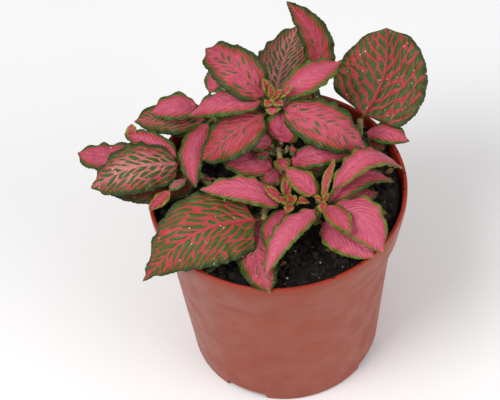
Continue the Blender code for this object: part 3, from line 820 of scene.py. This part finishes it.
# ---- pot ----
POT_SEGMENTS = 240
COLLAR_FOOT, COLLAR_FOOT_RADIUS = 65.0, 42.5  # the step under the collar
WALL_TOP_RADIUS, BASE_RADIUS = 40.3, 34.0
WALL, FLOOR_THICKNESS = 1.3, 4.4
LIP_HEIGHT, LIP_SKIN = 3.2, 0.75  # the straight part below the rim, and how far down its top is brighter
INNER_SKIN = 0.9  # how far inside the outer wall the plastic is as bright as the rim's top
CHANNELS, CHANNEL_TURN = 4, 241.0
CHANNEL_WIDTH, CHANNEL_DEPTH, CHANNEL_START = 15.5, 3.2, 14.0
DRAIN_RADIUS, DRAIN_PLACE, DRAIN_SIDES = 4.0, 22.0, 32
SHARP_ANGLE = 38  # degrees


def rounded(corners, steps=4):
    """An outline through (radius, height, rounding) corners, each rounded by an arc-like curve."""
    outline = []
    for i, (r, z, size) in enumerate(corners):
        here = np.array([r, z])
        if size == 0 or i in (0, len(corners) - 1):
            outline.append(here)
            continue
        before = np.array(corners[i - 1][:2]) - here
        after = np.array(corners[i + 1][:2]) - here
        size = min(size, 0.45 * np.linalg.norm(before), 0.45 * np.linalg.norm(after))
        first, last = here + unit(before) * size, here + unit(after) * size
        for k in range(steps + 1):
            t = k / steps
            outline.append(first * (1 - t) ** 2 + here * 2 * t * (1 - t) + last * t * t)
    return np.array(outline)


def lathe(name, outline, segments):
    """A closed solid of revolution, from an outline that starts and ends on the axis."""
    inner = outline[1:-1]
    angles = np.arange(segments) * 2 * np.pi / segments
    rings = [np.stack([r * np.cos(angles), r * np.sin(angles), np.full(segments, z)], 1) for r, z in inner]
    points = np.concatenate([[[0, 0, outline[0][1]]], *rings, [[0, 0, outline[-1][1]]]])
    return mesh_object(name, points * MM, closed_faces(len(inner), segments))


def new_tree(name, inputs):
    """A geometry tree with named inputs, and the functions that add a node and a sum to it."""
    tree = bpy.data.node_groups.new(name, "GeometryNodeTree")
    face = tree.interface
    face.new_socket("Geometry", in_out="INPUT", socket_type="NodeSocketGeometry")
    for label, kind, value in inputs:
        socket = face.new_socket(label, in_out="INPUT", socket_type="NodeSocket" + kind)
        if value is not None:
            socket.default_value = value
    face.new_socket("Geometry", in_out="OUTPUT", socket_type="NodeSocketGeometry")

    def node(kind, inputs=(), **settings):
        return add_node(tree, kind, inputs, **settings)

    def maths(operation, a, b):
        return node("ShaderNodeMath", {0: a, 1: b}, operation=operation).outputs[0]

    return tree, node, maths


def cutter_tree():
    """Drain channels and drain holes round the pot's base, as one set of cutting solids."""
    tree, node, maths = new_tree("drain_cutters", (
        ("Count", "Int", CHANNELS),
        ("Turn", "Float", math.radians(CHANNEL_TURN)),
        ("Width", "Float", CHANNEL_WIDTH * MM),
        ("Depth", "Float", CHANNEL_DEPTH * MM),
        ("Start", "Float", CHANNEL_START * MM),
        ("Reach", "Float", (BASE_RADIUS + 6) * MM),
        ("Hole radius", "Float", DRAIN_RADIUS * MM),
        ("Hole place", "Float", DRAIN_PLACE * MM),
    ))
    given = node("NodeGroupInput").outputs
    length = maths("SUBTRACT", given["Reach"], given["Start"])
    middle = maths("MULTIPLY", maths("ADD", given["Reach"], given["Start"]), 0.5)
    height = maths("MULTIPLY", given["Depth"], 2.0)
    size = node("ShaderNodeCombineXYZ", {0: length, 1: given["Width"], 2: height})
    channel = node("GeometryNodeMeshCube", {"Size": size.outputs[0]})
    hole = node("GeometryNodeMeshCylinder", {
        "Vertices": DRAIN_SIDES, "Radius": given["Hole radius"], "Depth": 0.02})
    moved = []
    for shape, place in ((channel, middle), (hole, given["Hole place"])):
        shift = node("ShaderNodeCombineXYZ", {0: place})
        shifted = {"Geometry": shape.outputs["Mesh"], "Translation": shift.outputs[0]}
        moved.append(node("GeometryNodeTransform", shifted).outputs[0])
    pair = node("GeometryNodeMeshBoolean", {"Mesh 2": moved}, operation="UNION")
    spots = node("GeometryNodePoints", {"Count": given["Count"]})
    number = node("GeometryNodeInputIndex").outputs[0]
    share = maths("DIVIDE", maths("MULTIPLY", number, math.tau), given["Count"])
    turn = node("ShaderNodeCombineXYZ", {2: maths("ADD", share, given["Turn"])})
    placed = node("GeometryNodeInstanceOnPoints", {
        "Points": spots.outputs[0], "Instance": pair.outputs["Mesh"], "Rotation": turn.outputs[0]})
    real = node("GeometryNodeRealizeInstances", {0: placed.outputs[0]})
    node("NodeGroupOutput", {0: real.outputs[0]})
    return tree


def apply_tree(carrier, tree, name, **values):
    """The plain mesh object that a geometry tree makes on a carrier object, which is removed."""
    modifier = carrier.modifiers.new(tree.name, "NODES")
    modifier.node_group = tree
    sockets = {s.name: s.identifier for s in tree.interface.items_tree if s.in_out == "INPUT"}
    for key, value in values.items():
        modifier[sockets[key]] = value
    mesh = evaluated_mesh(carrier)
    mesh.name = name
    bpy.data.objects.remove(carrier)
    return add(name, mesh)


def build_pot():
    """The nursery pot: a turned shell with drain channels and drain holes cut from its base."""
    _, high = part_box("nursery_pot")
    rim, height = high.x / MM, high.z / MM
    lip_foot = height - LIP_HEIGHT
    outline = rounded([
        (0, 0, 0),
        (BASE_RADIUS, 0, 1.2),
        (WALL_TOP_RADIUS, COLLAR_FOOT - 0.9, 0.5),
        (COLLAR_FOOT_RADIUS, COLLAR_FOOT, 0.6),
        (rim, lip_foot, 1.0),
        (rim, height, 0.55),
        (rim - WALL, height, 0.55),
        (rim - WALL - 0.25, lip_foot, 0.8),
        (COLLAR_FOOT_RADIUS - WALL, COLLAR_FOOT + 0.2, 0.6),
        (WALL_TOP_RADIUS - WALL, COLLAR_FOOT - 1.4, 0.6),
        (BASE_RADIUS - WALL - 0.4, FLOOR_THICKNESS, 1.4),
        (0, FLOOR_THICKNESS, 0),
    ])
    pot = lathe("pot_shell", outline, POT_SEGMENTS)
    carrier = mesh_object("drain_carrier", [(0, 0, 0)], [])
    cutters = apply_tree(carrier, cutter_tree(), "drain_cutters")
    cut = pot.modifiers.new("drains", "BOOLEAN")
    cut.operation, cut.solver, cut.object = "DIFFERENCE", "EXACT", cutters
    mesh = evaluated_mesh(pot)
    pot.modifiers.clear()
    pot.data = mesh
    bpy.data.objects.remove(cutters)
    mesh.shade_smooth()
    mesh.set_sharp_from_angle(angle=math.radians(SHARP_ANGLE))
    heights = [0, COLLAR_FOOT - 1, COLLAR_FOOT, height]
    outsides = [BASE_RADIUS, WALL_TOP_RADIUS, COLLAR_FOOT_RADIUS, rim]
    lip = []
    for vertex in mesh.vertices:
        x, y, z = vertex.co / MM
        radius = math.hypot(x, y)
        on_lip = z > height - LIP_SKIN and radius < rim - 0.1
        within = radius < np.interp(z, heights, outsides) - INNER_SKIN and z > FLOOR_THICKNESS - 0.5
        lip.append(1.0 if on_lip or within else 0.0)
    mesh.attributes.new("lip", "FLOAT", "POINT").data.foreach_set("value", np.array(lip, np.float32))
    finish_piece(pot, "terracotta_plastic", pot_material(), "nursery_pot")


# ---- soil ----
SOIL_RINGS, SOIL_SEGMENTS = 56, 220
SOIL_SETTLED = 0.55  # how far the soil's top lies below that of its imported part
SOIL_EDGE_SETTLED = 0.4  # how far its edge lies below the rest
SOIL_GAP = 0.15
SOIL_CREST = 9  # the side of the soil ends this far below its highest point
LUMPS = ((11, 0.55), (5.2, 0.4), (2.3, 0.3), (1.1, 0.16))  # size and height
CRUMBED = 0.965  # the share of the soil's radius that loose bits lie on
RIM_DUST = (1.0, 0.4)  # how far in from the outside of the rim its crumbs lie
BIT_SHAPES = 3
BIT_UNEVENNESS = 0.38
BIT_SIZES = 2.2  # above 1, small bits are more usual than large ones
UPWARD = 0.2  # how far up a face looks, at least, for a grain to lie on it
SPECKS = {"right_leaf_1": 0.06, "left_leaf_1": 0.06, "front_leaf_1": 0.035, "front_leaf_3": 0.15,
          "crown_leaf_6": 0.02, "left_leaf_3": 0.06, "crown_leaf_2": 0.03, "left_leaf_2": 0.03}


def lumps(x, y):
    """Unevenness of the soil, in millimetres."""
    value = 0.0
    for k, (size, height) in enumerate(LUMPS):
        a, b = 1.7 * k + 0.4, 2.9 * k + 1.1
        value += height * math.sin(x / size * 2 + a + math.sin(y / size + b)) * math.cos(y / size * 2.2 + b)
    return value


def build_soil():
    """The soil, with an uneven top. Gives back the points of its top and how many are in each ring."""
    points, faces = merged("potting_soil")
    surface = BVHTree.FromPolygons([tuple(p) for p in points], faces)
    crest = points[:, 2].max()
    radii = np.hypot(points[:, 0], points[:, 1])
    edge = radii.max()
    wall = {}
    for r, z in zip(radii, points[:, 2]):
        if r > 1:
            wall.setdefault(round(float(z), 1), []).append(float(r))
    side = sorted((z, max(r)) for z, r in wall.items() if z < crest - SOIL_CREST)

    def top(x, y):
        hit = surface.ray_cast(Vector((x, y, crest + 20)), Vector((0, 0, -1)))
        return hit[0].z if hit[0] else crest - 3

    made = [(0.0, 0.0, side[0][0])]
    for z, r in side:
        made += circle(r, z, SOIL_SEGMENTS)
    first_top = len(made)
    for k in range(SOIL_RINGS):
        settled = SOIL_SETTLED + (0.0 if k else SOIL_EDGE_SETTLED)
        for x, y, _ in circle((edge - SOIL_GAP) * (1 - k / SOIL_RINGS), 0.0, SOIL_SEGMENTS):
            made.append((x, y, top(x * 0.998, y * 0.998) + lumps(x, y) - settled))
    made.append((0.0, 0.0, top(0.01, 0.01) + lumps(0, 0) - SOIL_SETTLED))
    faces = closed_faces((len(made) - 2) // SOIL_SEGMENTS, SOIL_SEGMENTS)
    soil = mesh_object("soil_bed", np.array(made) * MM, faces)
    finish_piece(soil, "potting_soil", soil_material(), "potting_soil")
    return made[first_top:], SOIL_SEGMENTS


def strewn(node, given, shape, scale, turn=None):
    """Copies of a shape strewn over the given surface, as plain geometry in the given material. Without a
    turn they stand up from the surface."""
    points = node("GeometryNodeDistributePointsOnFaces", {
        "Mesh": given["Geometry"], "Density": given["Density"], "Seed": given["Seed"]})
    placed = node("GeometryNodeInstanceOnPoints", {
        "Points": points.outputs["Points"],
        "Instance": shape.outputs[0],
        "Rotation": (turn or points).outputs[0 if turn else "Rotation"],
        "Scale": scale,
        "Pick Instance": bool(turn),
    })
    real = node("GeometryNodeRealizeInstances", {0: placed.outputs[0]})
    painted = node("GeometryNodeSetMaterial", {0: real.outputs[0], "Material": given["Material"]})
    node("NodeGroupOutput", {0: painted.outputs[0]})


def scatter_tree():
    """Loose bits of uneven shape, scattered over a surface and turned at random."""
    tree, node, maths = new_tree("loose_bits", (
        ("Density", "Float", 100000.0),
        ("Seed", "Int", 1),
        ("Smallest", "Float", 0.0004),
        ("Largest", "Float", 0.0012),
        ("Stretch", "Float", 1.0),
        ("Flatten", "Float", 0.7),
        ("Material", "Material", None),
    ))
    given = node("NodeGroupInput").outputs
    shapes = []
    for k in range(BIT_SHAPES):
        ball = node("GeometryNodeMeshIcoSphere", {"Radius": 1.0, "Subdivisions": 1})
        low, high = [(sign * BIT_UNEVENNESS,) * 3 for sign in (-1, 1)]
        uneven = node("FunctionNodeRandomValue", {0: low, 1: high, "Seed": 31 + k}, data_type="FLOAT_VECTOR")
        dented = node("GeometryNodeSetPosition", {"Geometry": ball.outputs[0], "Offset": uneven.outputs[0]})
        shapes.append(node("GeometryNodeGeometryToInstance", {0: dented.outputs[0]}).outputs[0])
    joined = node("GeometryNodeJoinGeometry", {0: shapes})
    any_turn = {0: (0.0, 0.0, 0.0), 1: (math.tau,) * 3, "Seed": 5}
    turn = node("FunctionNodeRandomValue", any_turn, data_type="FLOAT_VECTOR")
    size = node("FunctionNodeRandomValue", {2: 0.0, 3: 1.0, "Seed": 9}, data_type="FLOAT")
    scale = node("ShaderNodeMapRange", {
        "Value": maths("POWER", size.outputs[1], BIT_SIZES),
        "To Min": given["Smallest"],
        "To Max": given["Largest"],
    })
    flat = node("ShaderNodeCombineXYZ", {0: given["Stretch"], 1: 1.0, 2: given["Flatten"]})
    scaled = node("ShaderNodeVectorMath", {0: flat.outputs[0], "Scale": scale.outputs[0]}, operation="SCALE")
    strewn(node, given, joined, scaled.outputs[0], turn)
    return tree


def hair_tree():
    """Short tapering hairs that stand on a surface."""
    tree, node, maths = new_tree("hairs", (
        ("Density", "Float", 500000.0),
        ("Seed", "Int", 1),
        ("Length", "Float", 0.0008),
        ("Radius", "Float", 0.00005),
        ("Material", "Material", None),
    ))
    given = node("NodeGroupInput").outputs
    hair = node("GeometryNodeMeshCone", {
        "Vertices": 3,
        "Radius Top": maths("MULTIPLY", given["Radius"], 0.3),
        "Radius Bottom": given["Radius"],
        "Depth": given["Length"],
    })
    size = node("FunctionNodeRandomValue", {2: 0.5, 3: 1.0, "Seed": 3}, data_type="FLOAT")
    strewn(node, given, hair, size.outputs[1])
    return tree


def scatter(name, slot, area, faces, material, density, seed, smallest, largest, stretch, flatten):
    """Bits on faces given in metres. Density is a number to the square millimetre, sizes are radii in mm."""
    bits = apply_tree(
        mesh_object(name + "_carrier", area, faces),
        bits_tree,
        name,
        Density=density / MM**2,
        Seed=seed,
        Smallest=smallest * MM,
        Largest=largest * MM,
        Stretch=stretch,
        Flatten=flatten,
        Material=material,
    )
    finish_piece(bits, slot, material)


def build_crumbs(ground, count):
    """Peat crumbs, bark chips and perlite on the soil, and a few crumbs spilt on the pot's rim."""
    peat = chip_material("peat_crumb", (12, 10, 9), (40, 29, 22), 0.85)
    bark = chip_material("bark_chip", (52, 36, 24), (132, 94, 56), 0.75)
    perlite = chip_material("perlite", (120, 106, 84), (186, 170, 142), 0.8)
    faces = []
    for start in range(0, len(ground) - 1 - count, count):
        faces += between(start, start + count, count)
    area = np.array(ground) * (CRUMBED, CRUMBED, 1.0) * MM
    soil = "potting_soil"
    scatter("peat_crumbs", soil, area, faces, peat, 0.3, 11, 0.3, 2.0, 1.1, 0.8)
    scatter("bark_chips", soil, area, faces, bark, 0.03, 23, 0.25, 1.5, 1.7, 0.5)
    scatter("perlite_grains", soil, area, faces, perlite, 0.02, 37, 0.15, 0.6, 1.0, 0.9)
    _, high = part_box("nursery_pot")
    rings = [circle(high.x - inset * MM, high.z, count) for inset in RIM_DUST]
    rim = [point for pair in zip(*rings) for point in pair]
    faces = [(2 * i, 2 * i + 1, (2 * i + 3) % (2 * count), (2 * i + 2) % (2 * count)) for i in range(count)]
    scatter("rim_crumbs", soil, rim, faces, peat, 0.22, 41, 0.15, 0.6, 1.2, 0.8)


def build_specks(leaf, number, density, material):
    """Pale grains of dust and lime on the upper side of a leaf."""
    mesh = leaf.data
    area = [tuple(v.co) for v in mesh.vertices]
    faces = [tuple(p.vertices) for p in mesh.polygons if p.normal.z > UPWARD and len(p.vertices) <= 4]
    name = leaf.name.replace("_blade", "_specks")
    scatter(name, "netted_leaf", area, faces, material, density, number, 0.06, 0.3, 1.0, 0.8)


# ---- stems ----
STEM_SIDES, STEM_STEP = 20, 0.5
STEM_CORNERS = 6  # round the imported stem, at least
STEM_SHARE = 0.94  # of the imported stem's radius
STEM_SQUARENESS = 0.05
JOINT_SPACING, JOINT_PLACE, JOINT_LENGTH, JOINT_SWELLING = 6.5, 3.2, 0.7, 0.14
HAIR_DENSITY, HAIR_LENGTH, HAIR_RADIUS = 1.3, 0.9, 0.045


def stem_line(node):
    """(middle points, radii) of a stem's solid from its foot to its top, in millimetres."""
    points, _ = merged(node)
    levels = {}
    for p in points:
        levels.setdefault(round(p[2], 2), []).append(p)
    heights = sorted(z for z in levels if len(levels[z]) >= STEM_CORNERS)
    middles = np.array([np.mean(levels[z], 0) for z in heights])
    offsets = [np.array(levels[z]) - middle for z, middle in zip(heights, middles)]
    return middles, np.array([np.linalg.norm(offset, axis=1).mean() for offset in offsets])


def build_stem(node, number, material):
    """A slightly square stem with short hairs, swollen at its joints, where pairs of leaves grew."""
    middles, radii = stem_line(node)
    knots = travel(middles)
    places = np.linspace(0, knots[-1], max(8, int(knots[-1] / STEM_STEP)) + 1)
    line = spline(knots, middles, places)
    off_joint = (places % JOINT_SPACING - JOINT_PLACE) / JOINT_LENGTH
    joint = 1 + JOINT_SWELLING * np.exp(-off_joint**2)
    thick = np.interp(places, knots, radii) * joint * STEM_SHARE
    angles = np.arange(STEM_SIDES) * math.tau / STEM_SIDES
    outline = np.stack([np.cos(angles), np.sin(angles), 0 * angles], 1)
    outline *= (1 + STEM_SQUARENESS * np.cos(4 * angles))[:, None]
    points = (line[:, None] + thick[:, None, None] * outline).reshape(-1, 3)
    points = np.concatenate([points, line[-1:]]) * MM
    top = len(points) - 1 - STEM_SIDES
    sides = []
    for start in range(0, top, STEM_SIDES):
        sides += between(start, start + STEM_SIDES, STEM_SIDES)
    faces = [tuple(reversed(range(STEM_SIDES))), *sides, *fan(len(points) - 1, top, STEM_SIDES)]
    stem = mesh_object(node + "_skin", points, faces)
    hairs = apply_tree(
        mesh_object(node + "_carrier", points, sides),
        hairs_tree,
        node + "_hairs",
        Density=HAIR_DENSITY / MM**2,
        Seed=number,
        Length=HAIR_LENGTH * MM,
        Radius=HAIR_RADIUS * MM,
        Material=hair_finish,
    )
    finish_piece(hairs, "green_stem", hair_finish)
    finish_piece(stem, "green_stem", material, node)


# ---- stage ----
def build_stage():
    """A pale floor."""
    half = FLOOR_SIZE / 2
    corners = [(-half, -half, 0), (half, -half, 0), (half, half, 0), (-half, half, 0)]
    floor = mesh_object("floor", corners, [(0, 1, 2, 3)], smooth=False)
    g = Graph("pale_floor", 0.8, 0.2)
    floor.data.materials.append(g.finish(srgb(246, 246, 246)))


def build_light():
    """An even white sky and two soft lamps."""
    world = bpy.data.worlds.new("studio")
    bpy.context.scene.world = world
    world.use_nodes = True
    background = world.node_tree.nodes["Background"]
    background.inputs["Color"].default_value = (1.0, 1.0, 1.0, 1.0)
    background.inputs["Strength"].default_value = SKY_STRENGTH
    for name, (place, size, power) in LIGHTS.items():
        data = bpy.data.lights.new(name, "AREA")
        data.shape, data.size, data.energy = "DISK", size, power
        light = add(name, data)
        light.location = place
        light.rotation_mode = "QUATERNION"
        light.rotation_quaternion = (Vector(LIGHT_AIM) - Vector(place)).to_track_quat("-Z", "Y")


def build_camera():
    """A long lens that looks down at the plant, rolled a little."""
    elevation, roll = math.radians(CAMERA_ELEVATION), math.radians(CAMERA_ROLL)
    back = Vector((0, -math.cos(elevation), math.sin(elevation)))
    right = Vector((1, 0, 0))
    up = back.cross(right)
    turned_right = right * math.cos(roll) + up * math.sin(roll)
    turned_up = up * math.cos(roll) - right * math.sin(roll)
    data = bpy.data.cameras.new("camera")
    data.lens, data.sensor_width = CAMERA_LENS, SENSOR_WIDTH
    camera = add("camera", data)
    turn = Matrix((turned_right, turned_up, back)).transposed()
    camera.matrix_world = Matrix.Translation(Vector(CAMERA_AIM) + back * CAMERA_DISTANCE) @ turn.to_4x4()
    bpy.context.scene.camera = camera


# ---- build ----
for old in list(bpy.data.objects):
    bpy.data.objects.remove(old)
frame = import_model()
cad_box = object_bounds()
slot_of = {part["node"]: part["material_slot"] for part in frame["record"]["subparts"]}

build_camera()
build_stage()
build_light()
build_pot()
ground, around = build_soil()
bits_tree, hairs_tree = scatter_tree(), hair_tree()
build_crumbs(ground, around)

stem_finish, hair_finish = stem_material(), hair_material()
leaf_finish = leaf_material()
speck_finish = chip_material("leaf_speck", (190, 186, 160), (228, 226, 208), 0.7)
for number, (node, slot) in enumerate(sorted(slot_of.items())):
    if slot == "green_stem":
        build_stem(node, number, stem_finish)
    elif slot.endswith("_leaf"):
        look = {**DEFAULT_LOOK[slot], **LOOKS.get(node, {})}
        leaf = leaf_mesh(node + "_blade", leaf_rings(node), number + LEAF_SEED, look)
        finish_piece(leaf, slot, leaf_finish, node)
        if node in SPECKS:
            build_specks(leaf, number, SPECKS[node], speck_finish)

for number, (name, (start, tip, width, arch, roll, look)) in enumerate(SMALL_LEAVES.items()):
    leaf = leaf_mesh(name, small_leaf_rings(start, tip, width, arch, roll), number + SMALL_SEED, look)
    finish_piece(leaf, "tip_leaf" if look.get("young") else "pink_leaf", leaf_finish)

bpy.context.scene.view_settings.view_transform = "Standard"
